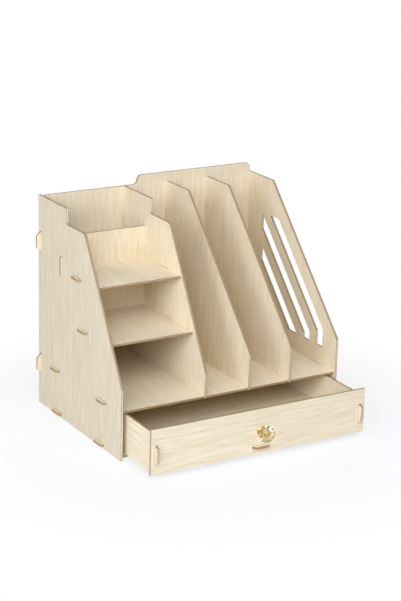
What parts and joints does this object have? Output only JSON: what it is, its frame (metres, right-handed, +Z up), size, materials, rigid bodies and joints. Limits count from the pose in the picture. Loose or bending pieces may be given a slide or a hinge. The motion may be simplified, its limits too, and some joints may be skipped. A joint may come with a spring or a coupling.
{
  "type": "desk organizer with drawer",
  "caption": "Free-standing desk organizer of tabbed thin boards: sloping file slots, a shelf column with a pen box, slanted windows in one side and a sliding drawer with a faceted knob.",
  "frame": {"origin": "on the table, at the middle of the object's width and of its depth with the drawer part open as modelled, measured from the knob's tip to the rear edges of the side panels", "axes": "+X to the user's right along the width, +Y from the drawer towards the back panel, +Z up"},
  "size_m": [0.338, 0.324, 0.303],
  "materials": {
    "board": "matt pale wood foil with fine straight grain",
    "drawer_board": "matt pale wood foil with fine straight grain",
    "knob_clear": "clear faceted acrylic",
    "brass": "polished brass",
    "steel": "zinc-plated steel"
  },
  "bodies": {
    "cabinet": {"side_panel_left": "board", "side_panel_right": "board", "back_panel": "board", "bottom_panel": "board", "deck_panel": "board", "column_divider": "board", "file_divider_left": "board", "file_divider_right": "board", "middle_shelf": "board", "upper_shelf": "board", "pen_box_panel": "board"},
    "drawer": {"drawer_front": "drawer_board", "drawer_back": "drawer_board", "drawer_side_left": "drawer_board", "drawer_side_right": "drawer_board", "drawer_floor": "drawer_board", "drawer_knob": "knob_clear", "knob_base": "brass", "knob_insert": "brass", "knob_screw": "steel", "knob_washer": "steel"}
  },
  "joints": [
    {"name": "drawer_slide", "type": "slide", "parent": "cabinet", "child": "drawer", "axis": [0, -1, 0], "range_m": [-0.07, 0.091]}
  ]
}
